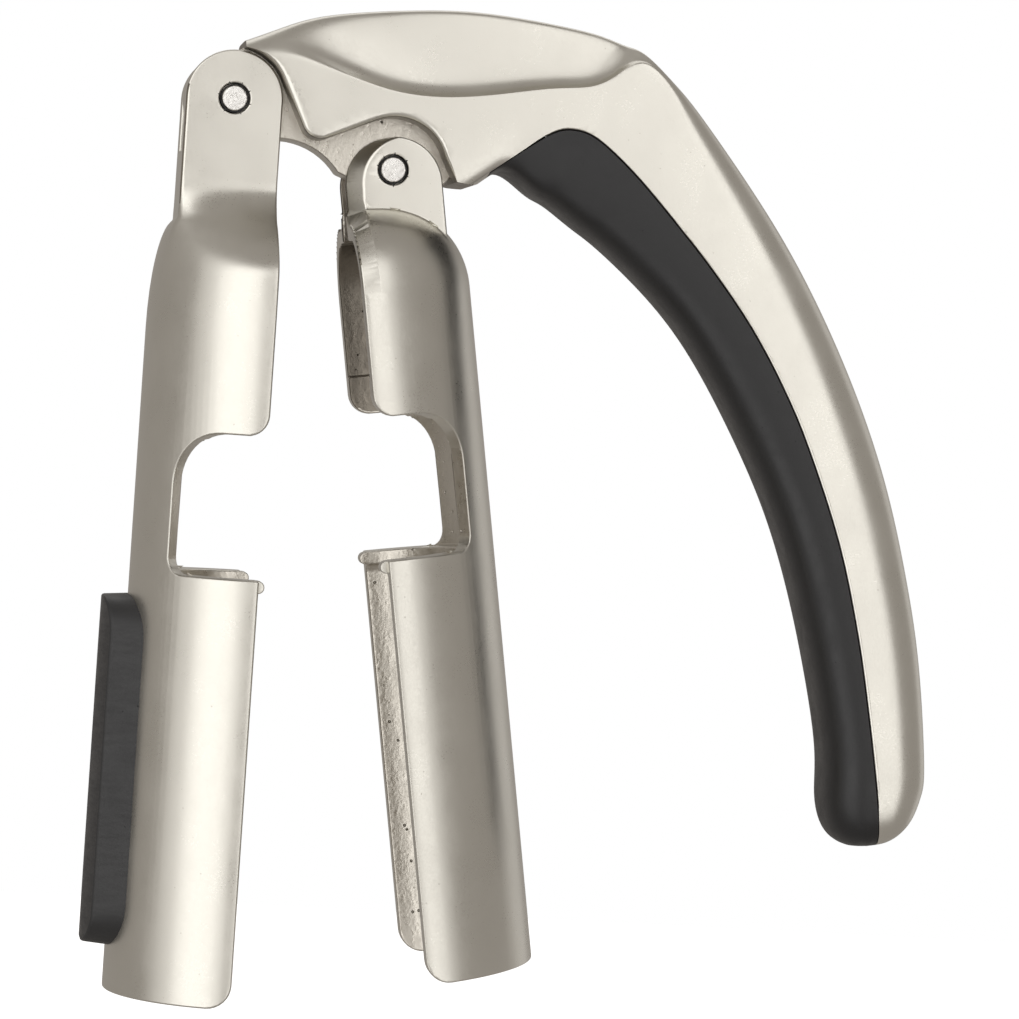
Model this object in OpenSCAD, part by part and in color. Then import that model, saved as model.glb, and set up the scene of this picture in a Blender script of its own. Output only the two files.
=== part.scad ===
// Lever-action puller for sparkling-wine corks: two half-tube jaws hang from
// two pivot pins on a curved lever with a soft grip along its inner side.
// Origin: on the axis of the main jaw's tube, at its bottom face. +Z runs up
// that axis, +X points to the swing jaw and the handle, and the whole part is
// symmetric about the plane Y = 0.

/* [Jaw tubes] */
// Outer diameter of each half tube
tube_d = 39.5; // [36:0.5:44]
// Wall of the tubes, the shoulders and the ears
wall = 3.0; // [2.4:0.1:3.6]
// Height of the lower half tubes, from the bottom face to the rim
lower_h = 69.2; // [50:1:80]
// Height of the window between the lower and the upper half tube
window_h = 23.2; // [16:0.5:28]
// Half angle of the spine that joins the two tubes past the window
spine_angle = 43; // [35:1:50]
// Angle from the spine's edge to the square cut at the window's upper corner
window_lean = 17; // [12:1:20]
// Radius of the window's upper corners
window_top_r = 6.0; // [3:0.5:8]
// Radius of the window's lower corners
window_low_r = 3.0; // [1.5:0.5:5]
// Radius of the bottom corners of each half tube
foot_r = 4.0; // [2:0.5:6]
// Radius of the lower corners of each upper half tube
cheek_r = 3.5; // [2:0.5:5]

/* [Inner ledge] */
// Thickness of the half-ring ledge at the rim
ledge_t = 2.2; // [1.6:0.2:3]
// How far the ledge stands in from the bore
ledge_in = 2.7; // [1.5:0.1:3.5]
// Radius of the fillet under the ledge
ledge_fillet = 1.6; // [0.8:0.2:2]
// How far the ledge's ends reach past the parting plane
ledge_tip = 1.2; // [0.6:0.1:1.4]
// Height of the thicker land inside each upper half tube
land_h = 6.5; // [4:0.5:9]
// How far that land stands in from the bore
land_in = 0.7; // [0.4:0.1:1.2]

/* [Necks and ears] */
// Width of each neck, over both ears
neck_w = 14; // [13:0.5:16]
// Distance from the parting plane back to the pin
pin_back = 8.2; // [7.5:0.1:9]
// Radius of the arch at the top of the main jaw's ears
main_arch_r = 7.9; // [7:0.1:8]
// Radius of the arch at the top of the swing jaw's ears
swing_arch_r = 7.9; // [7:0.1:8]
// How far the swing jaw's pin sits above the centre of its arch
swing_arch_drop = 2.5; // [1:0.1:3]
// Height of the main jaw's pin above the rim
main_pin_h = 77.8; // [70:0.5:90]
// Height of the swing jaw's pin above the rim
swing_pin_h = 63.1; // [58:0.5:70]
// How far the main jaw's arch stands back from the parting plane
main_arch_back = 0.3; // [0.2:0.1:1]
// How far the swing jaw's arch stands back from the parting plane
swing_arch_back = 0.3; // [0.1:0.1:1]
// Distance from the main jaw's pin down to the start of its shoulder
main_shoulder = 27.2; // [26:0.2:32]
// Radius of the main jaw's shoulder
main_shoulder_r = 8; // [7:0.5:11]
// Distance from the swing jaw's pin down to the start of its shoulder
swing_shoulder = 20; // [19:0.5:24]
// Radius of the swing jaw's shoulder
swing_shoulder_r = 12; // [10:0.5:12]
// Radius of the concave blend from neck to shoulder on the main jaw
neck_blend_r = 5.5; // [3:0.5:6]
// Distance from the pin down to the web that joins a pair of ears
web_drop = 8.8; // [8.6:0.1:11]
// Width of the bevel on the swing jaw's ears
ear_bevel = 2.6; // [1.5:0.1:2.8]

/* [Pivot pins] */
// Diameter of both pivot pins
pin_d = 4.6; // [4:0.1:5.4]
// Diameter of the countersink round each pin end
sink_d = 5.5; // [5.5:0.1:6.2]
// How far each pin stands out of the ears
pin_out = 0.1; // [0.05:0.05:0.3]
// Size of the eased edge round each pin's ends
pin_ease = 0.35; // [0.2:0.05:0.6]
// Radial clearance of the pins in their bores
pin_fit = 0.05; // [0.03:0.01:0.08]
// Distance between the two pins
pin_span = 28.4; // [28:0.1:30]
// Slope of the line from the main pin down to the swing pin
pin_slope = 19.8; // [18:0.1:22]
// Lean of the swing jaw away from the main jaw
swing_lean = 9.3; // [7:0.1:12]

/* [Lever] */
// Depth of the lever, from side to side
lever_w = 20; // [18:0.5:22]
// Gap on each side between the lug and the ears
side_gap = 0.2; // [0.1:0.05:0.3]
// Distance from the main pin to the stop face that meets the main jaw's ears
main_stop = 8.4; // [8.3:0.1:9]
// Turn of the lever that brings that face parallel to the ears
main_close = 26; // [22:1:28]
// Distance from the swing pin to the stop face that meets the swing jaw's ears
swing_stop = 8.4; // [8.2:0.1:9]
// Slope of that second stop face
swing_close = 28; // [24:1:30]
// Radius of the room round the swing jaw's ears
swing_room_r = 8.5; // [8.4:0.1:9.2]
// Radius of the lobe between the two pairs of ears
lobe_r = 3.1; // [2:0.1:3.5]
// How far down its stop face the lobe sits
lobe_drop = 8.5; // [7:0.5:9]
// Depth of the finger hollows in the head's sides
scoop = 0.5; // [0.2:0.05:0.6]
// Radius of the lug's boss round the swing pin
swing_boss_r = 6.6; // [5.5:0.1:7]
// Length of the rounding along the lever's inner side
inner_round = 5; // [3:0.5:6]
// Gap between the grip insert and the casting
grip_gap = 0.1; // [0.05:0.05:0.2]
// Width of the rib that holds the grip in the casting
rib_w = 9; // [6:0.5:12]
// Depth of that rib
rib_d = 3.5; // [2:0.5:5]

/* [Jaw pad] */
// Width of the rubber pad
pad_w = 18.4; // [16:0.2:24]
// Height of the rubber pad
pad_h = 57.6; // [40:0.2:62]
// Distance from the rim down to the pad's top edge
pad_drop = 4.2; // [2:0.2:8]
// How far the pad stands out from the tube
pad_t = 4.4; // [3:0.1:5]
// Radius of the pad's corners
pad_corner_r = 5; // [3:0.5:8]
// Diameter of the studs that hold the pad
stud_d = 5; // [4:0.5:6]
// Depth of the studs in the jaw's wall
stud_depth = 1.6; // [1:0.2:2]
// Distance from each end of the pad to its stud, as a share of its height
stud_share = 0.22; // [0.18:0.02:0.3]

/* [Hidden] */
$fn = 96;
// Overshoot of the cutting shapes
over = 1;
// Length that reaches past any part of the head
far = 60;
// How far right of the main pin the full width of the head starts
head_start = 1.2;
// Where the head's underside ends, from the main pin
head_end = [37.6, -11];
// The chamfered corner between that end and the grip
head_corner = [[40, -11.2], [46, -8.8]];
// Centre and radius of the hollow arc under the lug
lug_arc_at = [8.5, -17.5];
lug_arc_r = 11.7;
// Corners of the lug's web, from the main pin: left, top left and lower left
lug_web = [[-4, 6.7], [1, 9.2], [8, -7]];
// The far corners of the grip's side, well past the lever's inner line
grip_far = [[60, -121], [36, -30]];
// The first seam point that the rib runs from
rib_first = 3;
// A gap so small that two faces of one body only meet
seat = 0.05;
// A small step that keeps an inner edge just clear of an outer one
lip = 0.2;
// Depth of the countersink round a pin's end
sink_depth = 0.5;

tube_r = tube_d / 2;
bore_r = tube_r - wall;
rim_z = lower_h;
sill_z = rim_z + window_h;
ledge_z = rim_z - lip;
main_pin_z = rim_z + main_pin_h;
swing_pin_z = rim_z + swing_pin_h;
neck_half = neck_w / 2;
gap_half = neck_half - wall;
lug_half = gap_half - side_gap;
lever_half = lever_w / 2;
pin_r = pin_d / 2;
main_pin = [-pin_back, main_pin_z];
swing_pin_rel = pin_span * [cos(pin_slope), -sin(pin_slope)];
swing_pin_at = main_pin + swing_pin_rel;

// ---- shared helpers -------------------------------------------------------

// Extrudes an X-Z profile along Y, from -half to half
module across(half) {
    rotate([90, 0, 0]) linear_extrude(height = 2 * half, center = true) children();
}

// Turns an r-z profile through the half circle on the -X side
module half_turn() {
    rotate([0, 0, 90]) rotate_extrude(angle = 180) children();
}

// What a rounded corner takes away: the corner lies at the origin, and the
// solid lies towards +X and +Y
module corner_waste(r) {
    difference() {
        translate([-over, -over]) square(r + over);
        translate([r, r]) circle(r);
    }
}

// ---- half-tube jaws ---------------------------------------------------------

// Half profile of a tube that ends in a round shoulder
module shoulder_profile(r, start, bend) {
    square([r, start]);
    square([r - bend, start + bend]);
    intersection() {
        translate([r - bend, start]) circle(bend);
        translate([0, start]) square([r, bend]);
    }
}

// The concave blend that carries the shoulder up into the neck's flat face
module blend_profile(start, bend) {
    c = [neck_half + neck_blend_r,
         start + sqrt(pow(bend + neck_blend_r, 2)
                      - pow(neck_half + neck_blend_r - tube_r + bend, 2))];
    d = [tube_r - bend, start];
    touch = d + (c - d) * bend / norm(c - d);
    difference() {
        translate([0, start]) square([touch[0], c[1] - start]);
        translate(c) circle(neck_blend_r);
    }
}

// Outline of the ears and neck in the X-Z plane
module neck_outline(base, pin_z, arch_r, arch_x, arch_drop) {
    translate([arch_x, pin_z - arch_drop]) circle(arch_r);
    translate([arch_x - arch_r, base]) square([2 * arch_r, pin_z - arch_drop - base]);
}

// The window opening on one side, cut square to the wall at its upper corner
module window_side() {
    lean = spine_angle + window_lean;
    edge = tube_r * sin(window_lean);
    rotate([0, 0, 180 + lean]) rotate([90, 0, 90])
        translate([0, 0, bore_r / 2]) linear_extrude(height = tube_r) difference() {
            translate([-edge, rim_z]) square([edge + tube_r, window_h]);
            translate([-edge, rim_z]) corner_waste(window_low_r);
            translate([-edge, sill_z]) mirror([0, 1]) corner_waste(window_top_r);
        }
}

// Half profile of a jaw's hollow: the bore, less the land and the ledge
module hollow_profile(start, bend) {
    under = ledge_z - ledge_t;
    difference() {
        translate([0, -over]) shoulder_profile(bore_r, start + over, bend - wall);
        translate([bore_r - land_in, sill_z - lip]) square([wall, land_h + lip]);
        translate([bore_r - ledge_in, under]) square([wall + ledge_in, ledge_t]);
        difference() {
            translate([bore_r - ledge_fillet, under - ledge_fillet]) square([wall, ledge_fillet]);
            translate([bore_r - ledge_fillet, under - ledge_fillet]) circle(ledge_fillet);
        }
    }
}

// The round-nosed ends of the ledge, past the parting plane
module ledge_tips() {
    nose = ledge_t / 2;
    for (side = [-1, 1])
        translate([0, side * (bore_r - ledge_in / 2 + lip), 0]) across(ledge_in / 2 + 2 * lip) {
            translate([-wall, ledge_z - ledge_t]) square([wall + ledge_tip - nose, ledge_t]);
            translate([ledge_tip - nose, ledge_z - nose]) circle(nose);
        }
}

// One jaw, with its tube axis on Z and its open side towards +X
module jaw(pin_z, arch_r, arch_x, arch_drop, shoulder_z, bend, blended) {
    difference() {
        union() {
            difference() {
                union() {
                    half_turn() {
                        shoulder_profile(tube_r, shoulder_z, bend);
                        if (blended) blend_profile(shoulder_z, bend);
                    }
                    across(neck_half) neck_outline(shoulder_z, pin_z, arch_r, arch_x, arch_drop);
                }
                rotate([0, 0, 90]) rotate_extrude() hollow_profile(shoulder_z, bend);
                // channel between the ears, open at the back above the web
                translate([arch_x - arch_r + wall, -gap_half, shoulder_z - wall])
                    cube([tube_r + arch_r, 2 * gap_half, pin_z]);
                translate([-2 * tube_r, -gap_half, pin_z - web_drop])
                    cube([4 * tube_r, 2 * gap_half, pin_z]);
                window_side();
                mirror([0, 1, 0]) window_side();
            }
            ledge_tips();
        }
        // round the corners at the parting plane
        across(tube_r + over) {
            mirror([1, 0]) corner_waste(foot_r);
            translate([0, sill_z - seat]) mirror([1, 0]) corner_waste(cheek_r);
        }
        // bore and countersinks for the pin
        translate([-pin_back, 0, pin_z]) rotate([90, 0, 0])
            cylinder(h = 2 * neck_w, r = pin_r + pin_fit, center = true);
        for (side = [-1, 1])
            translate([-pin_back, side * neck_half, pin_z]) rotate([90, 0, 0])
                cylinder(h = 2 * sink_depth, r = sink_d / 2, center = true);
    }
}

module main_jaw() {
    color("#c9c4b9")
    difference() {
        jaw(main_pin_z, main_arch_r, -main_arch_r - main_arch_back, 0, main_pin_z - main_shoulder,
            main_shoulder_r, true);
        pad_studs(stud_d / 2 + seat, stud_depth + seat);
    }
}

module swing_jaw_upright() {
    mirror([1, 0, 0])
    difference() {
        jaw(swing_pin_z, swing_arch_r, -swing_arch_r - swing_arch_back, swing_arch_drop,
            swing_pin_z - swing_shoulder, swing_shoulder_r, false);
        // bevel down the front corners of both ears
        for (side = [0, 1]) mirror([0, side, 0])
            translate([0, 0, swing_pin_z - web_drop])
                linear_extrude(height = 2 * web_drop)
                    polygon([[over, neck_half + over], [over, gap_half + lip],
                             [0, gap_half + lip], [-ear_bevel, neck_half],
                             [-ear_bevel, neck_half + over]]);
    }
}

// Moves a piece from its upright jaw frame to where the swing jaw hangs
module at_swing() {
    translate([swing_pin_at[0], 0, swing_pin_at[1]]) rotate([0, -swing_lean, 0])
        translate([-pin_back, 0, -swing_pin_z]) children();
}

module swing_jaw() {
    color("#c9c4b9") at_swing() swing_jaw_upright();
}

// ---- pad on the main jaw ------------------------------------------------------

module pad_studs(r, depth) {
    for (share = [stud_share, 1 - stud_share])
        translate([-tube_r - pad_t / 2, 0, rim_z - pad_drop - pad_h * share])
            rotate([0, 90, 0]) cylinder(h = pad_t / 2 + depth, r = r);
}

module pad_face() {
    translate([-pad_w / 2, 0]) difference() {
        square([pad_w, pad_h]);
        corner_waste(pad_corner_r);
        translate([pad_w, 0]) mirror([1, 0]) corner_waste(pad_corner_r);
        translate([0, pad_h]) mirror([0, 1]) corner_waste(pad_corner_r);
        translate([pad_w, pad_h]) mirror([1, 0]) mirror([0, 1]) corner_waste(pad_corner_r);
    }
}

module jaw_pad() {
    color("#1d1d1f") {
        intersection() {
            difference() {
                cylinder(h = rim_z, r = tube_r + pad_t);
                translate([0, 0, -over]) cylinder(h = rim_z + 2 * over, r = tube_r + seat);
            }
            translate([0, 0, rim_z - pad_drop - pad_h]) rotate([90, 0, -90])
                linear_extrude(height = 2 * tube_r) pad_face();
        }
        pad_studs(stud_d / 2, stud_depth);
    }
}

// ---- pins --------------------------------------------------------------------

// A pin along Y through both ears, its ends eased all round
module pivot_pin() {
    end = neck_half + pin_out;
    start = neck_half - pin_ease;
    rotate([90, 0, 0]) rotate_extrude()
        polygon([[0, -end], [pin_r - pin_ease, -end], [pin_r, -start],
                 [pin_r, start], [pin_r - pin_ease, end], [0, end]]);
}

module main_pin() {
    color("#d8d6d0") translate([main_pin[0], 0, main_pin[1]]) pivot_pin();
}

module swing_pin() {
    color("#d8d6d0") translate([swing_pin_at[0], 0, swing_pin_at[1]]) pivot_pin();
}

// ---- lever ---------------------------------------------------------------------

// Paired stations along the lever, measured from the main pin: a point on the
// outer line, the point across from it on the inner line, the share of that
// distance at which the outer rounding starts, and how much of it is scooped
stations = [
    [[-9, 6], [-9, -12], 0.95, 0],
    [[-1, 8.7], [0, -13.5], 0.97, 0],
    [[7, 12.2], [7, -15], 0.95, 0],
    [[15, 15.3], [14, -16.5], 0.80, 0.8],
    [[28, 17.3], [25, -17.8], 0.60, 1],
    [[41, 17.9], [35.5, -14], 0.50, 1],
    [[55, 16.2], [45, -9.4], 0.54, 1],
    [[67, 12.6], [54.5, -13], 0.80, 0.3],
    [[77.5, 3.6], [63, -19], 0.74, 0],
    [[87.5, -8.2], [72, -27], 0.66, 0],
    [[97, -21.5], [80.5, -36.5], 0.62, 0],
    [[106, -38], [89, -49], 0.60, 0],
    [[113.5, -55], [95.8, -62], 0.60, 0],
    [[118.8, -71], [101, -75], 0.60, 0],
    [[122, -86], [104.8, -88], 0.60, 0],
    [[124.2, -103], [107.6, -102], 0.60, 0],
    [[123, -111], [109.2, -112.6], 0.60, 0]];
// Steps between two stations
fine = 3;
// Shares of depth across the scooped side, from its crease up to the ridge
scoop_side = [[0, 1], [0.10, 0.80], [0.30, 0.62], [0.60, 0.55], [0.88, 0.44], [1, 0]];
// The depth of the hollows that those shares are drawn for
drawn_scoop = 0.5;

function pick(i) = stations[max(0, min(len(stations) - 1, i))];
// Catmull-Rom value between stations i and i + 1, for field k
function spline(i, t, k) =
    let (a = pick(i - 1)[k], b = pick(i)[k], c = pick(i + 1)[k], d = pick(i + 2)[k])
    0.5 * (2 * b + (c - a) * t + (2 * a - 5 * b + 4 * c - d) * t * t
           + (3 * b - a - 3 * c + d) * t * t * t);

// One half of a section: [share across from inner to outer, half depth] pairs
function half_section(span, crease, scooped, half) = concat(
    [for (j = [0:3]) let (f = 90 * j / 4)
        [inner_round * (1 - cos(f)) / span, half * sin(f)]],
    [[inner_round / span, half]],
    [for (j = [0:len(scoop_side) - 1]) let (f = 90 * j / (len(scoop_side) - 1))
        [crease + (1 - crease) * ((1 - scooped) * sin(f) + scooped * scoop_side[j][0]),
         half * ((1 - scooped) * cos(f)
                 + scooped * (1 - (1 - scoop_side[j][1]) * scoop / drawn_scoop))]]);

// A closed ring of points for one place along the lever
function ring(o, n, crease, scooped, half) =
    let (span = norm(o - n), h = half_section(span, crease, scooped, half), m = len(h))
    concat([for (p = h) let (q = n + (o - n) * p[0]) [q[0], -p[1], q[1]]],
           [for (j = [m - 2:-1:1]) let (q = n + (o - n) * h[j][0]) [q[0], h[j][1], q[1]]]);

tail_o = pick(len(stations) - 1)[0];
tail_n = pick(len(stations) - 1)[1];
// Rings that close the tail: [share of the last section's half span, drop, share of depth]
tail_rings = [[0.86, 2.6, 0.93], [0.60, 4.6, 0.78], [0.30, 5.6, 0.5]];
tail_crease = pick(len(stations) - 1)[2];

body_rings = concat(
    [for (i = [0:len(stations) - 2], s = [0:fine - 1]) let (t = s / fine)
        ring(spline(i, t, 0), spline(i, t, 1), spline(i, t, 2),
             max(0, min(1, spline(i, t, 3))), lever_half)],
    [ring(tail_o, tail_n, tail_crease, 0, lever_half)],
    [for (r = tail_rings) let (mid = (tail_o + tail_n) / 2, run = (tail_o - tail_n) / 2,
                               down = [run[1], -run[0]] / norm(run))
        ring(mid + run * r[0] + down * r[1], mid - run * r[0] + down * r[1],
             tail_crease, 0, lever_half * r[2])]);

// The whole lever, metal and grip together, as one loft
module lever_loft() {
    n = len(body_rings);
    m = len(body_rings[0]);
    points = [for (r = body_rings) each r];
    faces = concat(
        [[for (j = [0:m - 1]) j]],
        [for (i = [0:n - 2], j = [0:m - 1]) let (k = (j + 1) % m)
            [i * m + j, (i + 1) * m + j, (i + 1) * m + k]],
        [for (i = [0:n - 2], j = [0:m - 1]) let (k = (j + 1) % m)
            [i * m + j, (i + 1) * m + k, i * m + k]],
        [[for (j = [m - 1:-1:0]) (n - 1) * m + j]]);
    polyhedron(points, faces, convexity = 6);
}

// Line where the metal meets the grip, from under the head to the tail
seam = [[42.4, -8.9], [47.5, -5.0], [52.2, -1.8], [55.6, -1.0], [59.7, -2.2], [65.9, -7.1],
        [72.8, -14], [80.5, -22.4], [87.7, -31.4], [93.8, -41], [98.8, -50.8], [105, -66],
        [109.3, -81], [112.3, -95], [114.3, -107], [115, -121]];

function seam_normal(i) =
    let (a = seam[max(0, i - 1)], b = seam[min(len(seam) - 1, i + 1)], d = (b - a) / norm(b - a))
    [-d[1], d[0]];

// Everything on the grip's side of the seam, which is moved over by shift
module grip_side(shift) {
    polygon(concat([for (i = [0:len(seam) - 1]) seam[i] + seam_normal(i) * shift],
                   grip_far));
}

// The rib's outline, from the seam into the metal
module rib_side(depth) {
    last = len(seam) - 1 - rib_first;
    polygon(concat([for (i = [rib_first:last]) seam[i] + seam_normal(i) * depth],
                   [for (i = [last:-1:rib_first]) seam[i] - seam_normal(i)]));
}

// Places lever shapes, drawn from the main pin, in the part's frame
module at_lever() {
    translate([main_pin[0], 0, main_pin[1]]) children();
}

// What lies outside the thin lug that both pairs of ears hang on: the lug keeps
// a boss round each pin and the web between them, hollowed from below
module lug_waste() {
    p = swing_pin_rel;
    difference() {
        translate([-far, -far]) square([far + head_end[0], 2 * far]);
        circle(main_arch_r - lip / 2);
        translate(p) circle(swing_boss_r);
        difference() {
            polygon([[0, 0], lug_web[0], lug_web[1], lug_web[1] + [0, far], [far, far], head_end,
                     p + [swing_boss_r - over, over - swing_boss_r], p,
                     p - [swing_boss_r - over, 2 * over], lug_web[2]]);
            translate(lug_arc_at) circle(lug_arc_r);
        }
    }
}

// Where the ears turn beside the lug. The head's lower edge runs down the main
// stop face, round a lobe, up a tangent and round the swing pin to its own stop.
module ear_room() {
    p = swing_pin_rel;
    lobe = [[cos(main_close), -sin(main_close)], [sin(main_close), cos(main_close)]]
           * [main_stop + lobe_r, -lobe_drop];
    gap = p - lobe;
    rise = atan2(gap[1], gap[0]) + asin((lobe_r + swing_room_r) / norm(gap));
    across_tangent = [sin(rise), -cos(rise)];
    circle(main_stop);
    translate([-far, -far]) square([far + head_start, 2 * far]);
    rotate(main_close) translate([-far, -far]) square([far + main_stop, far]);
    translate(p) circle(swing_room_r);
    translate(p) rotate(swing_close) translate([-lobe_r, -far]) square([swing_stop + lobe_r, far]);
    difference() {
        polygon([lobe - lobe_r * [cos(main_close), sin(main_close)],
                 lobe, lobe + across_tangent * lobe_r, p - across_tangent * (swing_room_r - seat),
                 p, p - [0, far], [-far, -far], [0, -lobe_drop]]);
        translate(lobe) circle(lobe_r);
    }
}

// All that is cut from the loft to leave the head of the casting
module head_waste() {
    for (side = [-1, 1])
        translate([0, side * (lug_half + lever_half), 0]) across(lever_half) ear_room();
    across(lug_half + seat) lug_waste();
    across(lever_half + over)
        polygon([head_end, [head_end[0], -far], [head_corner[1][0], -far],
                 head_corner[1], head_corner[0]]);
}

module lever_casting() {
    color("#cfcabf") at_lever() difference() {
        lever_loft();
        union() {
            head_waste();
            across(lever_half + over) grip_side(0);
            across(rib_w / 2 + grip_gap) rib_side(rib_d + grip_gap);
        }
        rotate([90, 0, 0]) cylinder(h = neck_w, r = pin_r + pin_fit, center = true);
        translate([swing_pin_rel[0], 0, swing_pin_rel[1]]) rotate([90, 0, 0])
            cylinder(h = neck_w, r = pin_r + pin_fit, center = true);
    }
}

module grip_insert() {
    color("#202022") at_lever() intersection() {
        lever_loft();
        union() {
            across(lever_half + over) grip_side(-grip_gap);
            across(rib_w / 2) rib_side(rib_d);
        }
    }
}

// ---- drawing ----------------------------------------------------------------------

main_jaw();
jaw_pad();
main_pin();
lever_casting();
grip_insert();
swing_jaw();
swing_pin();
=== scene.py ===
import math

import bmesh
import bpy
from mathutils import Matrix, Vector


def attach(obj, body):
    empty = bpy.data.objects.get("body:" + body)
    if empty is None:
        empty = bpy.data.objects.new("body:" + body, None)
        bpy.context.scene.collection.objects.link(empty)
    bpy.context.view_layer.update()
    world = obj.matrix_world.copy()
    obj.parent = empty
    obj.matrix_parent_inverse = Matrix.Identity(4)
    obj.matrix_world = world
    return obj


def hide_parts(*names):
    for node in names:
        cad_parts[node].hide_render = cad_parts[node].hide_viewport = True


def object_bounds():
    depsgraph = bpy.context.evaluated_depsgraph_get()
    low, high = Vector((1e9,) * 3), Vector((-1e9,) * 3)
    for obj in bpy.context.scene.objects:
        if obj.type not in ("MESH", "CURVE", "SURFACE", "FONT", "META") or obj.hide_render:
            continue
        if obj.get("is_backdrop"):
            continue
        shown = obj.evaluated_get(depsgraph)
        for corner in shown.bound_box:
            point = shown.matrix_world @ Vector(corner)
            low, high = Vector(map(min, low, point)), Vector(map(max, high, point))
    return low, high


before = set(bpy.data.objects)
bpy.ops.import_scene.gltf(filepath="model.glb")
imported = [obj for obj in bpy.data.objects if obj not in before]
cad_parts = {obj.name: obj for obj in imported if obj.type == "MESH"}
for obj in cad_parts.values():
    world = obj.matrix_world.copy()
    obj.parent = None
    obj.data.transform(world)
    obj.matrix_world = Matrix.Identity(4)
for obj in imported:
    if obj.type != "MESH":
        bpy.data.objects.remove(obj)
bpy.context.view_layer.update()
scene = bpy.context.scene
mm = 0.001

# ---- Camera -----------------------------------------------------------------------
# A long lens, level with the middle of the tool and a little to the left of its front.
camera_at = Vector((-55.5, -662.6, 99.5)) * mm
aim = Vector((42.6, 0.0, 82.9)) * mm
upright = Vector((-0.0698, 0.0, 0.9976))
forward = (aim - camera_at).normalized()
right = forward.cross(upright).normalized()
lens = bpy.data.cameras.new("camera")
lens.lens = 142.0
lens.sensor_width = 36.0
camera = bpy.data.objects.new("camera", lens)
camera.matrix_world = Matrix((right, right.cross(forward), -forward)).transposed().to_4x4()
camera.matrix_world.translation = camera_at
scene.collection.objects.link(camera)
scene.camera = camera

# ---- Main jaw ---------------------------------------------------------------------
# A zinc casting, ground and plated in satin nickel: half a tube with a window for the
# cork's head, a shoulder, and a neck that ends in two ears round the main pin. Inside it
# is left as it was cast.
tube_r, wall = 19.75, 3.0
bore_r = tube_r - wall
rim, sill = 69.2, 92.4
neck_half, gap_half = 7.0, 4.0
pin_back, ear_r = 8.2, 7.9
main_pin_z, swing_pin_z = 147.0, 132.3
socket_r = 2.5
main_shoulder, main_inner_r = 119.8, 4.5
# how far the ledge reaches in from the bore, its thickness and the fillet under it, and
# how far the land above the window stands in from the bore, and its height
ledge_in, ledge_thick, ledge_fillet = 2.7, 2.2, 1.6
land_in, land_high = 0.8, 6.5
window_lean = 17
window_top_r, window_foot_r = 8.5, 3
# how far the web between the ears lies below the pin, and the radii of the round corners
# at the foot and under the upper half tube
web_drop, foot_r, upper_r = 8.8, 4, 3.5
# where the ledge's round noses stand, half their width, and their radius
nose_y, nose_half, nose_r = 15.6, 1.65, 1.05


def arc(x, z, r, start, end, steps, squash=1.0):
    turns = [math.radians(start + (end - start) * k / steps) for k in range(steps + 1)]
    return [(x + r * math.cos(t), z + squash * r * math.sin(t)) for t in turns]


def solid(bm):
    """Makes an object of a closed bmesh, with its faces turned outwards."""
    bmesh.ops.remove_doubles(bm, verts=bm.verts, dist=0.001 * mm)
    bmesh.ops.recalc_face_normals(bm, faces=bm.faces)
    mesh = bpy.data.meshes.new("solid")
    bm.to_mesh(mesh)
    bm.free()
    made = bpy.data.objects.new("solid", mesh)
    scene.collection.objects.link(made)
    return made


def lathe(outline, half=False, steps=120):
    """Spins an outline of (radius, height) points round the tube's axis."""
    bm = bmesh.new()
    line = [bm.verts.new(Vector((-r, 0, z)) * mm) for r, z in outline]
    edges = [bm.edges.new(pair) for pair in zip(line, line[1:])]
    bmesh.ops.spin(bm, geom=line + edges, axis=(0, 0, 1), cent=(0, 0, 0), angle=math.tau,
                   steps=steps, use_merge=True, use_duplicate=False)
    bmesh.ops.remove_doubles(bm, verts=bm.verts, dist=0.001 * mm)
    if half:
        bmesh.ops.bisect_plane(bm, geom=bm.verts[:] + bm.edges[:] + bm.faces[:], dist=1e-7,
                               plane_co=(0, 0, 0), plane_no=(1, 0, 0), clear_outer=True)
        bmesh.ops.holes_fill(bm, edges=[e for e in bm.edges if e.is_boundary], sides=0)
    return solid(bm)


def slab(outline, low, high, shear=0.0):
    """Extrudes an outline of (x, z) points along y, leaning by shear in x."""
    bm = bmesh.new()
    face = bm.faces.new([bm.verts.new(Vector((x, low, z)) * mm) for x, z in outline])
    out = bmesh.ops.extrude_face_region(bm, geom=[face])
    bmesh.ops.translate(bm, vec=Vector((shear, high - low, 0)) * mm,
                        verts=[v for v in out["geom"] if isinstance(v, bmesh.types.BMVert)])
    return solid(bm)


def prism(outline, turn, near, far):
    """Extrudes an outline of (across, height) points outwards from the tube's axis."""
    outwards = Vector((math.cos(math.radians(turn)), math.sin(math.radians(turn)), 0))
    across = Vector((-outwards.y, outwards.x, 0))
    bm = bmesh.new()
    face = bm.faces.new([bm.verts.new((across * a + outwards * near + Vector((0, 0, z))) * mm)
                         for a, z in outline])
    out = bmesh.ops.extrude_face_region(bm, geom=[face])
    bmesh.ops.translate(bm, vec=outwards * (far - near) * mm,
                        verts=[v for v in out["geom"] if isinstance(v, bmesh.types.BMVert)])
    return solid(bm)


def combine(body, tool, how="DIFFERENCE"):
    """Joins or cuts two solids, and clears the crumbs that the cut leaves."""
    cut = body.modifiers.new("cut", "BOOLEAN")
    cut.object, cut.operation, cut.solver = tool, how, "EXACT"
    done = bpy.data.meshes.new_from_object(
        body.evaluated_get(bpy.context.evaluated_depsgraph_get()))
    body.modifiers.clear()
    bm = bmesh.new()
    bm.from_mesh(done)
    bmesh.ops.remove_doubles(bm, verts=bm.verts, dist=0.008 * mm)
    bmesh.ops.dissolve_degenerate(bm, edges=bm.edges, dist=0.004 * mm)
    bm.to_mesh(done)
    bm.free()
    body.data = done
    bpy.data.objects.remove(tool)


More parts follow.
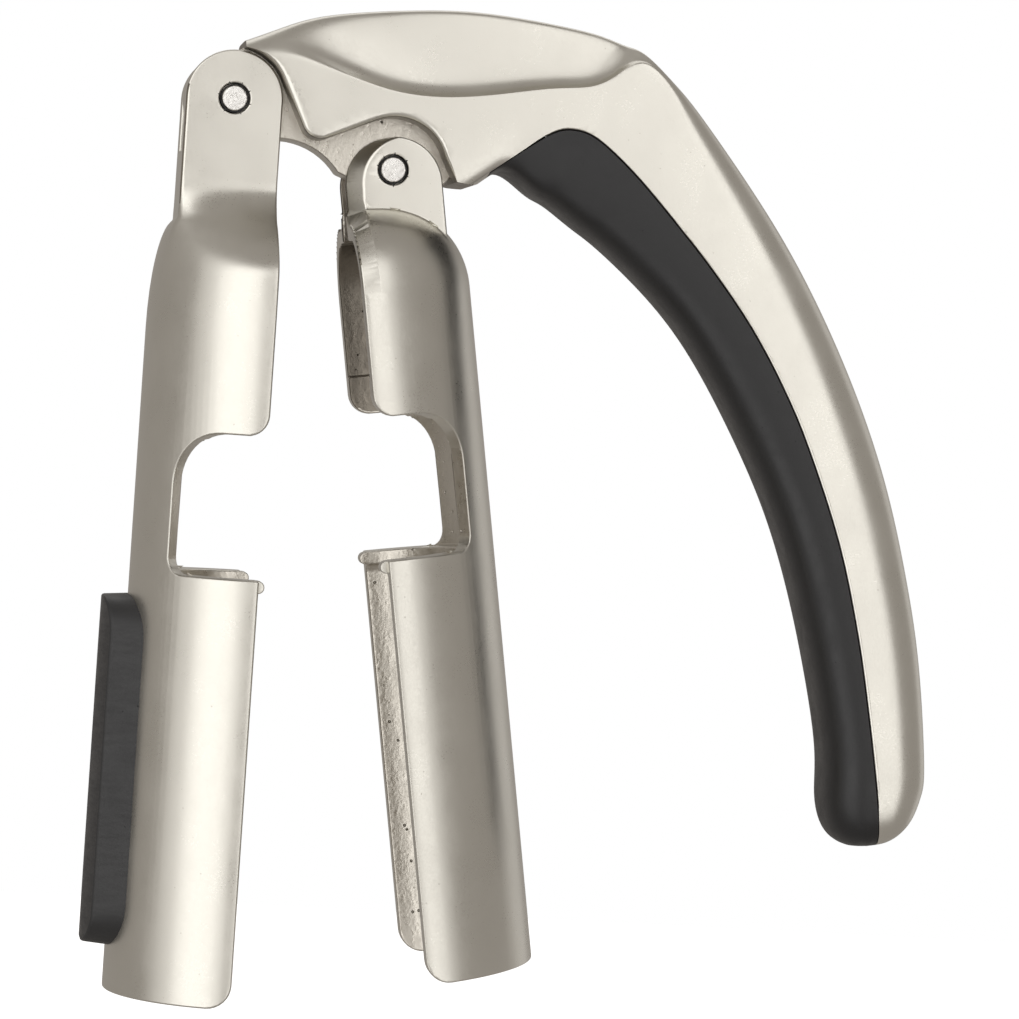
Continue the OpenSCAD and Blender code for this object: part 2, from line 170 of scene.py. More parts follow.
def soften(piece, width, sharp=35.0, steps=3, merge=0.12):
    """Rounds every edge sharper than that angle, as tumbling does to a casting."""
    bm = bmesh.new()
    bm.from_mesh(piece.data)
    bmesh.ops.dissolve_limit(bm, angle_limit=math.radians(0.3), verts=bm.verts, edges=bm.edges)
    bmesh.ops.remove_doubles(bm, verts=bm.verts, dist=merge * mm)
    bmesh.ops.dissolve_degenerate(bm, edges=bm.edges, dist=0.01 * mm)
    edges = [e for e in bm.edges if e.is_manifold and e.calc_face_angle(0) > math.radians(sharp)]
    bmesh.ops.bevel(bm, geom=edges, offset=width * mm, offset_type="OFFSET", segments=steps,
                    profile=0.5, affect="EDGES", clamp_overlap=False, material=-1)
    bmesh.ops.triangulate(bm, faces=[f for f in bm.faces if len(f.verts) > 4])
    bm.to_mesh(piece.data)
    bm.free()


def surface(name, colour, rough, metallic=0.0, grain=3.0, depth=4.0, patch=9.0, tone=0.06,
            rubbed=(0.4, 0.4, 5.0), lean=0.0, wear=0.05, pits=0.0, warm=(1.0, 0.985, 0.96)):
    """A finish with fine grain (grains per mm, depth in microns), patches of another tone
    (their size in mm), rubbed streaks, whose density per mm is given for each axis and whose
    lean in degrees, and a share of small pits."""
    m = bpy.data.materials.new(name)
    m.use_nodes = True
    nodes, links = m.node_tree.nodes, m.node_tree.links
    shader = nodes["Principled BSDF"]
    shader.inputs["Metallic"].default_value = metallic

    def put(kind, **sockets):
        made = nodes.new("ShaderNode" + kind)
        for key, value in sockets.items():
            if hasattr(made, key):
                setattr(made, key, value)
            elif hasattr(value, "is_linked"):
                links.new(value, made.inputs[key.replace("_", " ")])
            else:
                made.inputs[key.replace("_", " ")].default_value = value
        return made

    def share(value, low, high, to_low, to_high):
        return put("MapRange", Value=value, From_Min=low, From_Max=high, To_Min=to_low,
                   To_Max=to_high).outputs[0]

    def total(one, two, how="ADD"):
        sum_ = nodes.new("ShaderNodeMath")
        sum_.operation = how
        for socket, value in zip(sum_.inputs, (one, two)):
            if hasattr(value, "is_linked"):
                links.new(value, socket)
            else:
                socket.default_value = value
        return sum_.outputs[0]

    at = nodes.new("ShaderNodeTexCoord").outputs["Object"]
    in_mm = put("Mapping", Vector=at, Scale=(1000, 1000, 1000)).outputs[0]
    tipped = put("Mapping", Vector=at, Rotation=(0, math.radians(lean), 0)).outputs[0]
    along = put("Mapping", Vector=tipped, Scale=[1000 * v for v in rubbed]).outputs[0]
    fine = put("TexNoise", Vector=in_mm, Scale=grain, Detail=3.0, Roughness=0.6).outputs[0]
    broad = put("TexNoise", Vector=in_mm, Scale=1 / patch, Detail=4.0).outputs[0]
    streaks = put("TexNoise", Vector=along, Scale=1.0, Detail=3.0, Roughness=0.7).outputs[0]
    cells = put("TexVoronoi", Vector=in_mm, Scale=0.42, Randomness=1.0).outputs["Distance"]
    pit = share(cells, 0.03, 0.03 + 0.12 * max(pits, 0.01), 1.0 if pits else 0.0, 0.0)

    shade = total(share(broad, 0.3, 0.7, -tone, tone), share(fine, 0.3, 0.7, -tone / 3, tone / 3))
    shade = total(shade, share(streaks, 0.35, 0.65, -wear / 2, wear / 2))
    shade = total(shade, total(pit, -0.35, "MULTIPLY"))
    mix = nodes.new("ShaderNodeMix")
    mix.data_type = "RGBA"
    mix.inputs[6].default_value = (*[c * 0.8 * w for c, w in zip(colour, warm)], 1)
    mix.inputs[7].default_value = (*[c * 1.2 for c in colour], 1)
    links.new(total(shade, 0.5), mix.inputs[0])
    links.new(mix.outputs[2], shader.inputs["Base Color"])
    dull = total(share(fine, 0.3, 0.7, rough - 0.05, rough + 0.05),
                 share(streaks, 0.4, 0.7, -wear, wear))
    dull = total(dull, share(broad, 0.3, 0.7, -0.03, 0.04))
    links.new(total(dull, total(pit, 0.2, "MULTIPLY")), shader.inputs["Roughness"])
    height = total(fine, total(streaks, 6 * wear, "MULTIPLY"))
    height = total(height, total(pit, -4.0, "MULTIPLY"))
    bump = put("Bump", Height=height, Strength=1.0, Distance=depth * 1e-6)
    links.new(bump.outputs[0], shader.inputs["Normal"])
    return m


def show(piece, name, body, slot, materials, *nodes):
    """Names a finished piece, smooths its shading, and hangs it on its body."""
    piece.name = piece.data.name = name
    for m in materials:
        piece.data.materials.append(m)
    piece.data.shade_smooth()
    piece.data.set_sharp_from_angle(angle=math.radians(32))
    even = piece.modifiers.new("even shading", "WEIGHTED_NORMAL")
    even.keep_sharp = True
    even.weight = 50
    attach(piece, body)
    if nodes:
        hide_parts(*nodes)


def cast_and_shaded_inside(piece):
    """Gives the faces turned towards the tube's axis the second, rough finish, and those
    deep under the shoulder the third, a darker copy of it that paints the shade there."""
    for p in piece.data.polygons:
        reach = math.hypot(p.center.x, p.center.y)
        if p.normal.x * p.center.x + p.normal.y * p.center.y < -0.3 * reach:
            # faces high in the hollow, under the shoulder, take the darker copy: painted shade
            p.material_index = 2 if p.center.z > (sill + 1) * mm and reach > gap_half * mm else 1


def jaw(body, shoulder, pin_z, inner_r):
    """Hollows one jaw out of its body, which stands on its foot, its open side to +x."""
    back = -pin_back - ear_r + wall
    # the hollow, with the ledge that grips under the bottle's lip and the land above it
    under = rim - ledge_thick
    hollow = ([(0, -1), (bore_r, -1), (bore_r, under - ledge_fillet)]
              + arc(bore_r - ledge_fillet, under - ledge_fillet, ledge_fillet, 0, 90, 8)[1:]
              + [(bore_r - ledge_in, under), (bore_r - ledge_in, rim), (bore_r, rim),
                 (bore_r, sill - 1), (bore_r - land_in, sill - 1),
                 (bore_r - land_in, sill + land_high), (bore_r, sill + land_high)]
              + arc(bore_r - inner_r, shoulder, inner_r, 0, 90, 12) + [(0, shoulder + inner_r)])
    combine(body, lathe(hollow))
    # the channel between the ears, open at the back above the web
    web = pin_z - web_drop
    combine(body, slab([(back, shoulder - wall), (10, shoulder - wall), (10, pin_z + 20),
                        (-50, pin_z + 20), (-50, web), (back, web)], -gap_half, gap_half))
    # the window past the spine, on both sides
    edge = tube_r * math.sin(math.radians(window_lean))
    window = ([(tube_r, rim), (tube_r, sill)]
              + arc(window_top_r - edge, sill - window_top_r, window_top_r, 90, 180, 12)
              + arc(window_foot_r - edge, rim + window_foot_r, window_foot_r, 180, 270, 8))
    for s in (1, -1):
        combine(body, prism([(a * s, z) for a, z in window], 180 + 60 * s,
                            bore_r / 2, bore_r / 2 + tube_r))
    # round corners at the foot and under the upper half tube, and the pin's hole
    combine(body, slab([(1, -1), (1, foot_r)] + arc(-foot_r, foot_r, foot_r, 0, -90, 8)
                       + [(-foot_r, -1)], -25, 25))
    combine(body, slab([(1, sill - 1), (1, sill + 3.45)]
                       + arc(-upper_r, sill + 3.45, upper_r, 0, -90, 8)
                       + [(-upper_r, sill - 1)], -25, 25))
    combine(body, slab(arc(-pin_back, pin_z, socket_r, 0, 360, 40)[:-1], -20, 20))
    soften(body, 0.35)
    # the ledge's round noses reach past the parting plane
    for s in (1, -1):
        nose = slab([(-3, rim - 0.05), (-3, under + 0.05)]
                    + arc(0.1, rim - 1.1, nose_r, -90, 90, 8),
                    s * nose_y - nose_half, s * nose_y + nose_half)
        soften(nose, 0.2)
        combine(body, nose, "UNION")
    cast_and_shaded_inside(body)


def loft(rings):
    """Bridges rings of points, each closed, into one solid."""
    bm = bmesh.new()
    loops = []
    for ring in rings:
        points = [bm.verts.new(Vector(p) * mm) for p in ring]
        loops.append([bm.edges.new(pair) for pair in zip(points, points[1:] + points[:1])])
    for one, two in zip(loops, loops[1:]):
        bmesh.ops.bridge_loops(bm, edges=one + two)
    bmesh.ops.holes_fill(bm, edges=loops[0] + loops[-1], sides=0)
    return solid(bm)


# The main jaw's neck is a flat-sided block, which sweeps out into the half tube below:
# a hollow curve under the flat front, then a round one, and only a round one at the back.
sweep_top, sweep_mid, sweep_low = 134.0, 126.8, 117.6
sweep_steps, ring_steps = 24, 60
heights = [(sweep_top + 24, 0), (sweep_top + 8, 0)]
for k in range(sweep_steps + 1):
    heights.append((sweep_top + (sweep_low - sweep_top) * k / sweep_steps,
                    0.5 - 0.5 * math.cos(math.pi * k / sweep_steps)))
heights += [(115, 1), (112, 1), (109, 1), (0, 1)]
neck_back, tube_back, corner = 15.8, 109.0, math.radians(65)
rings = []
for z, front in heights:
    rise = min(1, max(0, (z - tube_back) / (sweep_mid - tube_back)))
    rear = math.sqrt(1 - rise * rise)
    ring = []
    for k in range(ring_steps + 1):
        t = math.pi * k / ring_steps
        flat = Vector((-0.3 - neck_back * min(1, math.sin(t) / math.sin(corner)),
                       -neck_half * max(-1, min(1, math.cos(t) / math.cos(corner))), z))
        tube = Vector((-tube_r * math.sin(t), -tube_r * math.cos(t), z))
        ring.append((flat.x + (tube.x - flat.x) * rear, flat.y + (tube.y - flat.y) * front, z))
    rings.append(ring)
main_jaw = loft(rings)
crown = arc(-pin_back, main_pin_z, ear_r, 180, 0, 40)
combine(main_jaw, slab(crown + [(4, main_pin_z), (4, main_pin_z + 20), (-24, main_pin_z + 20),
                                (-24, main_pin_z)], -20, 20))
jaw(main_jaw, main_shoulder, main_pin_z, main_inner_r)
satin = surface("satin nickel", (0.73, 0.715, 0.66), 0.33, metallic=1.0, grain=3.0,
                depth=2.6, patch=9, tone=0.05, rubbed=(0.25, 0.25, 0.12), wear=0.015, pits=0.2)
as_cast = surface("plated as cast", (0.66, 0.63, 0.57), 0.36, metallic=1.0, grain=1.3,
                  depth=70.0, patch=4, tone=0.12, rubbed=(0.9, 0.9, 0.3), wear=0.07, pits=0.7)
# a darker copy of the as-cast finish: painted shade for hollows and under the lever's head
painted_shade_cast = surface("as cast with painted shade", (0.26, 0.235, 0.20), 0.42, metallic=1.0, grain=1.3,
                    depth=60.0, patch=4, tone=0.15, rubbed=(0.9, 0.9, 0.3), wear=0.07, pits=0.5)
show(main_jaw, "main_jaw_casting", "main_jaw", "nickel", [satin, as_cast, painted_shade_cast],
     "main_jaw")

# ---- Swing jaw ----------------------------------------------------------------------
# The second casting, plated like the first. Its round shoulder meets its flat neck in a
# crisp line. A bevel runs round the front of each ear, down its edge, and fades out over
# the shoulder. It hangs from the swing pin and leans away from the main jaw.
shoulder, inner_r, ear_drop = 112.3, 9, 2.5
dome_y, dome_r, dome_rise = 7.4, 12.35, 1.12
dome = arc(dome_y, shoulder, dome_r, 0, 90, 24, squash=dome_rise)
swing_jaw = lathe([(0, 0), (tube_r, 0)] + dome + [(0, dome[-1][1])], half=True)
combine(swing_jaw, slab([(-pin_back - ear_r, shoulder), (-pin_back + ear_r, shoulder)]
                        + arc(-pin_back, swing_pin_z - ear_drop, ear_r, 0, 180, 40),
                        -neck_half, neck_half), "UNION")
bevel, start = 2.9, 4.2
# how far the cut reaches past the open side, and how far back it goes
past, reach = 0.5, 3.2
# the turn at the ear's root: the radii of its deep edge and of its edge on the skin, and
# the lean of the side that is cut away
root_deep, root_skin, root_lean = 3.39, 0.06, 45
# the bevel's path over the dome: dense where it fades out, its end lying clear of the skin
turns = [*range(86, 25, -6), 21, 17, 13, 10, 7, 4, 1, -4, -9]
clear = 0.22
top_z = dome[-1][1]
for s in (1, -1):
    front = arc(-pin_back + 0.15, swing_pin_z - ear_drop, ear_r, 96, 0, 24)
    combine(swing_jaw, slab(front + [(0, top_z + 1), (4, top_z + 1), (4, swing_pin_z + 9),
                                     (front[0][0], swing_pin_z + 9)],
                            s * start, s * (start + 3.1), shear=-reach))
    # the strip runs down the ear, turns in the corner at its root, and follows the dome:
    # its deep edge, its edge on the skin, and the lean of the side that is cut away
    lines = [((start - 0.6, top_z + 1.7), (start + 2.99, top_z + 1.7), root_lean)]
    for turn in range(0, 91, 15):
        y, z = math.cos(math.radians(turn)), math.sin(math.radians(turn))
        lines.append(((neck_half - root_deep * y, top_z - root_deep * z),
                      (neck_half - root_skin * y, top_z - root_skin * z), root_lean))
    for turn in turns:
        t = math.radians(turn)
        y = dome_y + dome_r * min(1, math.cos(t) + max(0, -t))
        z = shoulder + dome_r * dome_rise * math.sin(t)
        out = Vector((max(0, math.cos(t)) * dome_rise, max(0, math.sin(t)))).normalized()
        deep = bevel * (turn - turns[-1]) / (turns[0] - turns[-1]) - clear
        fall = y - math.sqrt(y * y - bevel * bevel)
        skin = Vector((y - fall, z))
        low = Vector((y, z)) - out * deep
        step = (skin - low) * past / bevel
        lean = math.degrees(math.atan2(*out.yx))
        lines.append((low - step, skin + step, min(root_lean, lean)))
    strip = []
    for low, skin, lean in lines:
        y, z = math.cos(math.radians(lean)), math.sin(math.radians(lean))
        strip.append([(past, s * low[0], low[1]), (-reach, s * skin[0], skin[1]),
                      (-reach, s * (skin[0] + 5 * y), skin[1] + 5 * z),
                      (past, s * (low[0] + 7 * y), low[1] + 7 * z)])
    combine(swing_jaw, loft(strip))
jaw(swing_jaw, shoulder, swing_pin_z, inner_r)
swing_pin, swing_lean = (18.521, 137.38), -9.3
hang = (Matrix.Translation(Vector((swing_pin[0], 0, swing_pin[1])) * mm)
        @ Matrix.Rotation(math.radians(swing_lean), 4, "Y")
        @ Matrix.Translation(Vector((-pin_back, 0, -swing_pin_z)) * mm)
        @ Matrix.Scale(-1, 4, (1, 0, 0)))
swing_jaw.data.transform(hang)
swing_jaw.data.flip_normals()
show(swing_jaw, "swing_jaw_casting", "swing_jaw", "nickel", [satin, as_cast, painted_shade_cast],
     "swing_jaw")
swing_jaw.data.set_sharp_from_angle(angle=math.radians(22))


# ---- Lever's casting ------------------------------------------------------------------
# One zinc casting, whose head is scooped on both sides for the fingers and open below
# for the jaws' ears. It is ground, plated like the jaws, and runs flush into the grip.
main_pin = Vector((-pin_back, 0, main_pin_z))
lever_half = 10.0
# Stations down the lever, measured from the main pin: a point of the outer line, the
# point across from it, the share of that span where the outer edge rolls over, the scoop
stations = [
    ((-9, 6), (-9, -12), 0.84, 0.0), ((-1, 8.7), (0, -13.5), 0.84, 0.0),
    ((7, 12.2), (7, -15), 0.84, 0.1), ((15, 15.0), (14, -16.5), 0.73, 0.7),
    ((28, 16.85), (25, -17.8), 0.585, 1.0), ((41, 17.4), (38.6, -12.6), 0.51, 1.0),
    ((55, 16.1), (44.6, -8.6), 0.55, 1.0), ((61.1, 14.9), (49.3, -11.1), 0.66, 1.0),
    ((64.3, 13.8), (51.8, -12.6), 0.765, 0.9), ((67.1, 12.3), (54.2, -13.9), 0.985, 0.1),
    ((72.1, 8.0), (58.4, -16.8), 0.96, 0.0), ((77.2, 3.3), (62.9, -19.8), 0.87, 0.0),
    ((87.2, -8.35), (71.8, -27.3), 0.78, 0.0), ((96.85, -21.55), (80.1, -36.8), 0.72, 0.0),
    ((106.2, -37.9), (88.1, -49.4), 0.67, 0.0), ((113.6, -55), (94.8, -62.3), 0.65, 0.0),
    ((118.4, -71), (99.7, -75.3), 0.65, 0.0), ((121.7, -86), (103.4, -88.1), 0.65, 0.0),
    ((123.7, -102), (106.25, -101), 0.65, 0.0), ((123.5, -107.6), (106.8, -109.0), 0.65, 0.0),
    ((121.6, -112.4), (108.6, -114.7), 0.65, 0.0), ((117.4, -116.6), (112.2, -117.4), 0.65, 0.0)]
tail_depths = (0.94, 0.6)
# Turns round the plain outer edge, and places and heights across the scooped side
edge_turns = (0, 15, 30, 48, 67, 90)
scooped_side = [(0.0, 1.0), (0.05, 0.86), (0.15, 0.74), (0.55, 0.66), (0.96, 0.60), (1.0, 0.54)]


def steady(values):
    """Shifts the points of a line outwards so that its smoothed form runs through them."""
    held = [Vector(v) for v in values]
    out = list(held)
    for _ in range(6):
        near = [(a + 4 * p + b) / 6 for a, p, b in zip(out, out[1:], out[2:])]
        out[1:-1] = [p + (h - n) for p, h, n in zip(out[1:-1], held[1:-1], near)]
    return out


outer = steady([s[0] for s in stations])
inner = steady([s[1] for s in stations])


def lever_form(name):
    """The whole lever, metal and grip together: a smooth skin over rings at the stations."""
    bm = bmesh.new()
    crease = bm.edges.layers.float.new("crease_edge")
    rings, folds = [], {}
    depths = [1.0] * (len(stations) - len(tail_depths)) + list(tail_depths)
    for n, (o, i, (_, _, roll, scoop), depth) in enumerate(zip(outer, inner, stations, depths)):
        span = (o - i).length
        ease = min(1, max(0.3, (n - 3) / 7)) / span
        flat_end = roll - (2.4 - 1.2 * scoop) / span
        half = [(0.0, 0.42), (1.2 * ease, 0.80), (4.2 * ease, 1.0), (flat_end, 1.0)]
        edge_r = (1 - roll) * span / lever_half
        for turn, (su, sh) in zip(edge_turns, scooped_side):
            pu = math.sin(math.radians(turn))
            ph = 1 - edge_r * (1 - math.cos(math.radians(turn)))
            u, h = pu + (su - pu) * scoop, ph + (sh - ph) * scoop
            half.append((roll + (1 - roll) * u, h))
        half.append((1.0, 0.0))
        ring = [(0.0, 0.0)] + [(u, -h) for u, h in half] + [(u, h) for u, h in half[-2::-1]]
        points = []
        for u, h in ring:
            q = i + (o - i) * u
            at = main_pin + Vector((q.x, h * lever_half * depth, q.y))
            points.append(bm.verts.new(at * mm))
            if u == roll:
                folds[points[-1]] = scoop
        rings.append([bm.edges.new((a, b)) for a, b in zip(points, points[1:] + points[:1])])
    for a, b in zip(rings, rings[1:]):
        bmesh.ops.bridge_loops(bm, edges=a + b)
    for e in bm.edges:
        if e.verts[0] in folds and e.verts[1] in folds:
            e[crease] = 0.95 * (sum(folds[v] for v in e.verts) / 2) ** 1.5
    bmesh.ops.holes_fill(bm, edges=rings[0] + rings[-1], sides=0)
    made = solid(bm)
    made.name = name
    smooth = made.modifiers.new("smooth skin", "SUBSURF")
    smooth.levels = smooth.render_levels = 3
    made.data = bpy.data.meshes.new_from_object(
        made.evaluated_get(bpy.context.evaluated_depsgraph_get()))
    made.modifiers.clear()
    return made


def from_pin(points):
    return [(main_pin.x + x, main_pin.z + z) for x, z in points]


# the room for the two jaws' ears under the head, measured from the main pin
swing_rel = (26.72, -9.62)
lobe = (14.06, -2.60)
room = ([(1.2, 40), (1.2, 8.31)] + arc(0, 0, 8.4, 81.8, 26, 10)[1:]
        + arc(*lobe, 3.1, 206, 294.3, 10) + arc(*swing_rel, 8.5, 114.3, 19.2, 14)
        + [(36.97, -11), (37.6, -11.1), (40, -11.2), (46, -8.8)])
seam = [(42.4, -8.9), (47.5, -5.0), (52.2, -1.8), (55.6, -1.0), (59.7, -2.2), (65.9, -7.1),
        (72.8, -14), (80.5, -22.4), (87.7, -31.4), (93.8, -41), (98.8, -50.8), (105, -66),
        (109.3, -81), (112.3, -95), (114.5, -107), (116.8, -121)]


def flow(points, steps=4):
    """Runs a smooth line through the points."""
    line = [Vector(p) for p in points]
    line = [2 * line[0] - line[1]] + line + [2 * line[-1] - line[-2]]
    out = []
    for a, b, c, d in zip(line, line[1:], line[2:], line[3:]):
        for k in range(steps):
            t = k / steps
            out.append(0.5 * (2 * b + (c - a) * t + (2 * a - 5 * b + 4 * c - d) * t * t
                              + (3 * b - a - 3 * c + d) * t ** 3))
    return out + [line[-2]]


def moved(points, by):
    """Moves a line sideways, to its left where by is positive."""
    out = []
    for i, p in enumerate(points):
        along = (points[min(i + 1, len(points) - 1)] - points[max(i - 1, 0)]).normalized()
        out.append(p + by * Vector((-along.y, along.x)))
    return out


def eased(body, line, far_side, width):
    """Cuts along a line right through the lever, and rounds the edge at both faces."""
    rings = []
    for turn in (0, 30, 60, 90):
        t = math.radians(turn)
        rings.append((width * (1 - math.sin(t)), lever_half - width * (1 - math.cos(t))))
    rings = [(width, lever_half + 1)] + rings
    rings += [(out, -y) for out, y in reversed(rings)]
    combine(body, loft([[(x, y, z) for x, z in from_pin(moved(line, out) + far_side)]
                        for out, y in rings]))


seam_line = flow(seam)
# corners well clear of the lever, below the head and on the grip's side
below = [Vector((46, -60)), Vector((-60, -60)), Vector((-60, 40))]
inside = [Vector((60, -121)), Vector((36, -30))]
room_edge, seam_edge, groove = 0.8, 0.45, 0.15
casting = lever_form("lever")
eased(casting, [Vector(p) for p in room], below, room_edge)
eased(casting, seam_line, inside, seam_edge)
# the room's walls under the head, turned down or back, take the darker copy: painted shade
for p in casting.data.polygons:
    if abs(p.normal.y) < 0.5 and p.center.x < 0.032 and (p.normal.z < 0.1 or p.normal.x < -0.8):
        p.material_index = 1
show(casting, "lever_shell", "lever", "nickel", [satin, painted_shade_cast], "lever_casting")

# ---- Grip -----------------------------------------------------------------------------
# Black plastic with a fine matt grain. It takes up the lever's inner side, as far as a
# narrow groove along the metal.
grip = lever_form("grip")
combine(grip, slab(from_pin(moved(seam_line, -groove) + inside), -20, 20), "INTERSECT")
plastic = surface("matt black plastic", (0.014, 0.014, 0.015), 0.42, grain=4.5, depth=9.0,
                  patch=14, tone=0.12, rubbed=(0.3, 0.3, 0.3), wear=0.05, pits=0.15,
                  warm=(1, 1, 1))
show(grip, "grip_inlay", "lever", "grip", [plastic], "grip_insert")

# ---- Lug ------------------------------------------------------------------------------
# The rib of the lever's casting between the two pairs of ears. It is plated but never
# ground, so it keeps the rough skin of the mould.
lug_half, boss_half = 3.8, 3.75
hollow_at, hollow_r = (8.5, -17.5), 11.7
main_boss_r, swing_boss_r = 7.8, 6.6
lug = slab(from_pin([(0, 0), (-2, 6.4), (1.6, 8.8), (8, 10), (30, 12), (36, 0), (37.2, -9.5),
                     (31.72, -15.2), swing_rel, (20.6, -11.6), (8, -7)]), -lug_half, lug_half)
combine(lug, slab(from_pin(arc(*hollow_at, hollow_r, 0, 360, 60)[:-1]), -20, 20))
for at, r, steps in (((0, 0), main_boss_r, 50), (swing_rel, swing_boss_r, 44)):
    boss = slab(from_pin(arc(*at, r, 0, 360, steps)[:-1]), -boss_half, boss_half)
    combine(lug, boss, "UNION")
soften(lug, 0.3, sharp=30)
show(lug, "lever_lug", "lever", "nickel", [as_cast], "lever_casting")

# ---- Jaw pad --------------------------------------------------------------------------
# Hard black rubber, glued to the back of the main jaw. Its corners are round, its sides
# narrow outwards, and its face is curved like the tube.
pad_low, pad_high, pad_out = 7.4, 65.0, 4.35
pad_half, pad_corner, face_half, face_corner = 9.6, 7.0, 8.1, 5.8


def pad_ring(half, low, high, corner, r, shrink=1.0):
    """A rounded rectangle laid on a cylinder of that radius, at the back of the jaw."""
    points = []
    for cx, cz, start in ((half - corner, high - corner, 0), (corner - half, high - corner, 90),
                          (corner - half, low + corner, 180), (half - corner, low + corner, 270)):
        for y, z in arc(cx, cz, corner, start, start + 90, 10):
            y, z = y * shrink, (low + high) / 2 + (z - (low + high) / 2) * shrink
            points.append((-math.sqrt(r * r - y * y), y, z))
    return points


face_r = tube_r + pad_out
pad = loft([pad_ring(pad_half, pad_low, pad_high, pad_corner, tube_r - 0.05),
            pad_ring(9.55, pad_low, pad_high, pad_corner, tube_r + 0.2),
            pad_ring(8.5, pad_low + 0.3, pad_high - 0.3, 6.2, face_r - 0.5),
            pad_ring(8.4, pad_low + 0.38, pad_high - 0.38, 6.1, face_r - 0.2),
            pad_ring(8.2, pad_low + 0.6, pad_high - 0.6, 5.9, face_r - 0.03)]
           + [pad_ring(face_half, pad_low + 0.7, pad_high - 0.7, face_corner, face_r, shrink)
              for shrink in (1.0, 0.8, 0.5, 0.2, 0.02)])
rubber = surface("black rubber", (0.024, 0.024, 0.025), 0.5, grain=2.6, depth=16.0, patch=7,
                 tone=0.14, rubbed=(0.2, 0.2, 0.9), wear=0.06, pits=0.2, warm=(1, 1, 1))
show(pad, "pad_block", "main_jaw", "pad", [rubber], "jaw_pad")

# ---- Pins -----------------------------------------------------------------------------
# Steel pins, peened at both ends, so that each end is a rough disc in a black ring of
# painted shade where the gap round the pin falls into shadow, with small burrs pushed up round
# the hole.
end_r, shaft_r, burr_r = 2.02, 2.3, 2.62
burrs = 7
peened = surface("peened steel", (0.78, 0.77, 0.75), 0.3, metallic=1.0, grain=1.6, depth=130.0,
                 patch=1.1, tone=0.2, rubbed=(1.7, 0.3, 0.35), lean=-35, wear=0.16, pits=0.6)
# near-black: it paints the shade in the gap between pin and hole
gap_shade = surface("painted gap shade", (0.012, 0.011, 0.010), 0.5, grain=3.0, depth=20.0, patch=1.0,
                tone=0.2, wear=0.1, warm=(1, 1, 1))


def pivot(at, seed):
    half = [(0, 0), (shaft_r, 0), (shaft_r, 6.3), (end_r, 6.3), (end_r, 6.86), (1.9, 7.02),
            (1.5, 7.07), (0, 7.09)]
    pin = lathe([(r, -y) for r, y in reversed(half[1:])] + half[1:], steps=56)
    pin.data.transform(Matrix.Rotation(math.radians(90), 4, "X"))
    for p in pin.data.polygons:
        flat = math.hypot(p.center.x, p.center.z)
        # the shaft and its shoulder, down in the gap, are painted black as shade
        p.material_index = 0 if flat < end_r * mm and abs(p.center.y) > 6.9 * mm else 1
    bm = bmesh.new()
    bm.from_mesh(pin.data)
    for side in (1, -1):
        for k in range(burrs):
            turn = seed + k * 0.9 + 0.25 * math.sin(5.3 * k + seed)
            size = 0.16 + 0.07 * math.sin(3.1 * k + seed)
            place = Vector((math.cos(turn) * burr_r, side * neck_half,
                            math.sin(turn) * burr_r)) * mm
            burr = bmesh.ops.create_cone(
                bm, cap_ends=True, segments=4, radius1=size * mm, radius2=0.02 * mm,
                depth=0.5 * mm, matrix=Matrix.Translation(place)
                @ Matrix.Rotation(math.pi / 2 - turn, 4, "Y")
                @ Matrix.Diagonal((1, 0.3, 1, 1)))
            # the burrs are painted as dark as the shade in the gap
            for face in {f for v in burr["verts"] for f in v.link_faces}:
                face.material_index = 1
    bm.to_mesh(pin.data)
    bm.free()
    pin.data.transform(Matrix.Translation(Vector((at[0], 0, at[1])) * mm))
    return pin


show(pivot((-pin_back, main_pin_z), 0.4), "main_pivot", "main_jaw", "pin_steel",
     [peened, gap_shade], "main_pin")
show(pivot(swing_pin, 1.3), "swing_pivot", "swing_jaw", "pin_steel",
     [peened, gap_shade], "swing_pin")

# ---- Studio ---------------------------------------------------------------------------
# A white table and backdrop. Two tall softboxes stand at the front left and one at the
# front right. A fourth lights the right edge from behind, and a fifth the top.
scene.view_settings.view_transform = "Standard"
world = bpy.data.worlds.new("studio")
scene.world = world
world.use_nodes = True
nodes, links = world.node_tree.nodes, world.node_tree.links
room_light = nodes["Background"]
room_light.inputs["Color"].default_value = (0.345, 0.322, 0.3, 1)
room_light.inputs["Strength"].default_value = 1.0
backdrop = nodes.new("ShaderNodeBackground")
backdrop.inputs["Color"].default_value = (1, 1, 1, 1)
path = nodes.new("ShaderNodeLightPath")
pick = nodes.new("ShaderNodeMixShader")
links.new(path.outputs["Is Camera Ray"], pick.inputs[0])
links.new(room_light.outputs[0], pick.inputs[1])
links.new(backdrop.outputs[0], pick.inputs[2])
links.new(pick.outputs[0], nodes["World Output"].inputs[0])


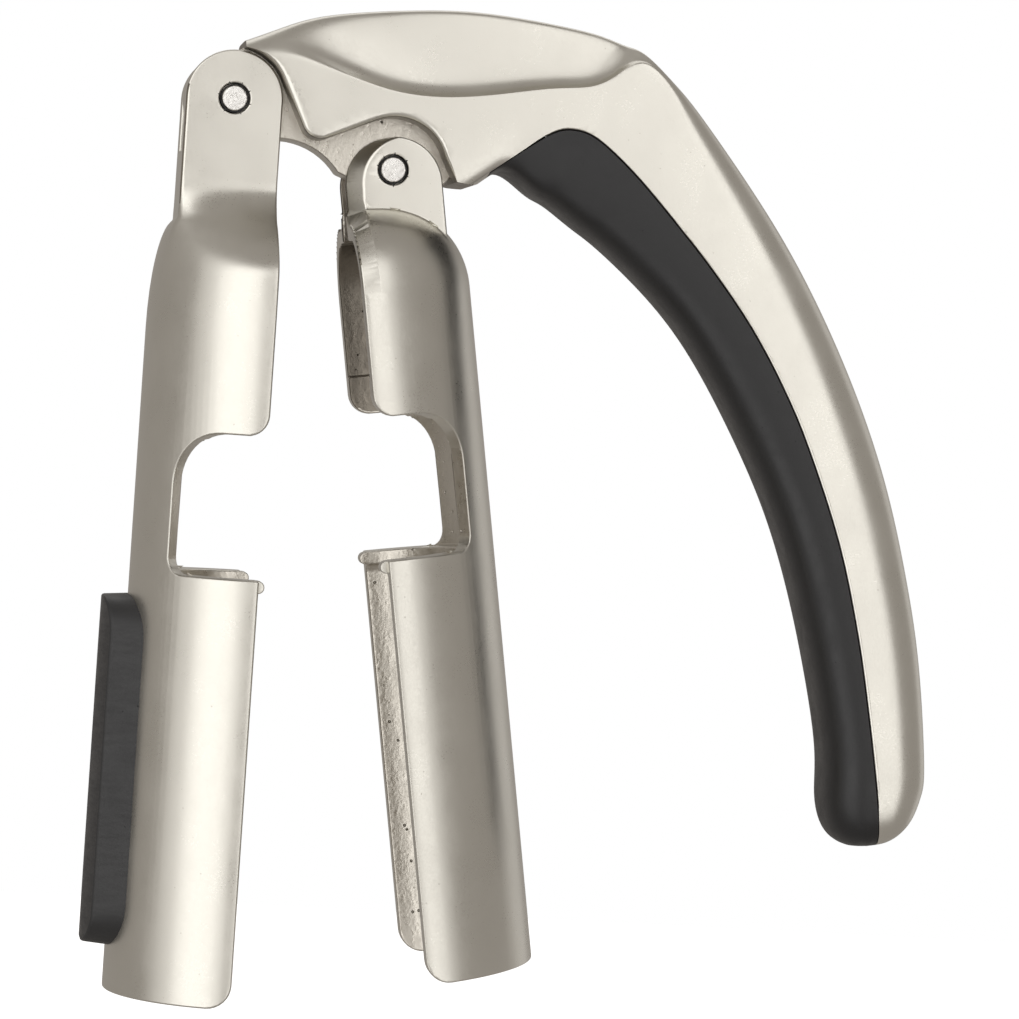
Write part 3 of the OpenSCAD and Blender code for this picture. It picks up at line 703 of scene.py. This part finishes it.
def softbox(name, at, width, height, glow):
    """A panel that faces the tool, as bright as that share of white."""
    data = bpy.data.lights.new(name, "AREA")
    data.shape = "RECTANGLE"
    data.size, data.size_y = width, height
    data.energy = glow * math.pi * width * height
    lamp = bpy.data.objects.new(name, data)
    lamp.location = at
    toward = Vector((0.04, 0, 0.09)) - Vector(at)
    lamp.rotation_euler = toward.to_track_quat("-Z", "Y").to_euler()
    scene.collection.objects.link(lamp)


softbox("key_wide", (-0.98, -1.13, 0.35), 2.1, 2.6, 0.45)
softbox("key_core", (-0.76, -1.28, 0.15), 1.2, 2.3, 0.80)
softbox("front_fill", (0.50, -1.43, 0.35), 0.70, 2.4, 1.12)
softbox("rim_right", (1.2, 0.75, 0.2), 0.75, 1.5, 0.28)
softbox("rear_top", (0.1, 0.75, 1.2), 1.4, 1.0, 0.75)

# the closed handle reaches below the jaws' feet, so the table lies lower than they do
table_half, table_z, paper_glow = 0.24, -0.016, 0.75
table = bpy.data.meshes.new("table")
bm = bmesh.new()
bmesh.ops.create_grid(bm, x_segments=1, y_segments=1, size=table_half,
                      matrix=Matrix.Translation((0, 0, table_z)))
bm.to_mesh(table)
bm.free()
table_top = bpy.data.objects.new("table", table)
scene.collection.objects.link(table_top)
table_top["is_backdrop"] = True
table_top.visible_glossy = False
paper = bpy.data.materials.new("white paper")
paper.use_nodes = True
nodes, links = paper.node_tree.nodes, paper.node_tree.links
nodes["Principled BSDF"].inputs["Base Color"].default_value = (0.9, 0.9, 0.9, 1)
nodes["Principled BSDF"].inputs["Roughness"].default_value = 0.9
glow = nodes.new("ShaderNodeEmission")
seen = nodes.new("ShaderNodeLightPath")
level = nodes.new("ShaderNodeMath")
level.operation = "MULTIPLY"
level.inputs[1].default_value = paper_glow
both = nodes.new("ShaderNodeAddShader")
links.new(seen.outputs["Is Camera Ray"], level.inputs[0])
links.new(level.outputs[0], glow.inputs["Strength"])
links.new(nodes["Principled BSDF"].outputs[0], both.inputs[0])
links.new(glow.outputs[0], both.inputs[1])
links.new(both.outputs[0], nodes["Material Output"].inputs[0])
table.materials.append(paper)

# ---- End ------------------------------------------------------------------------------
low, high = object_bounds()
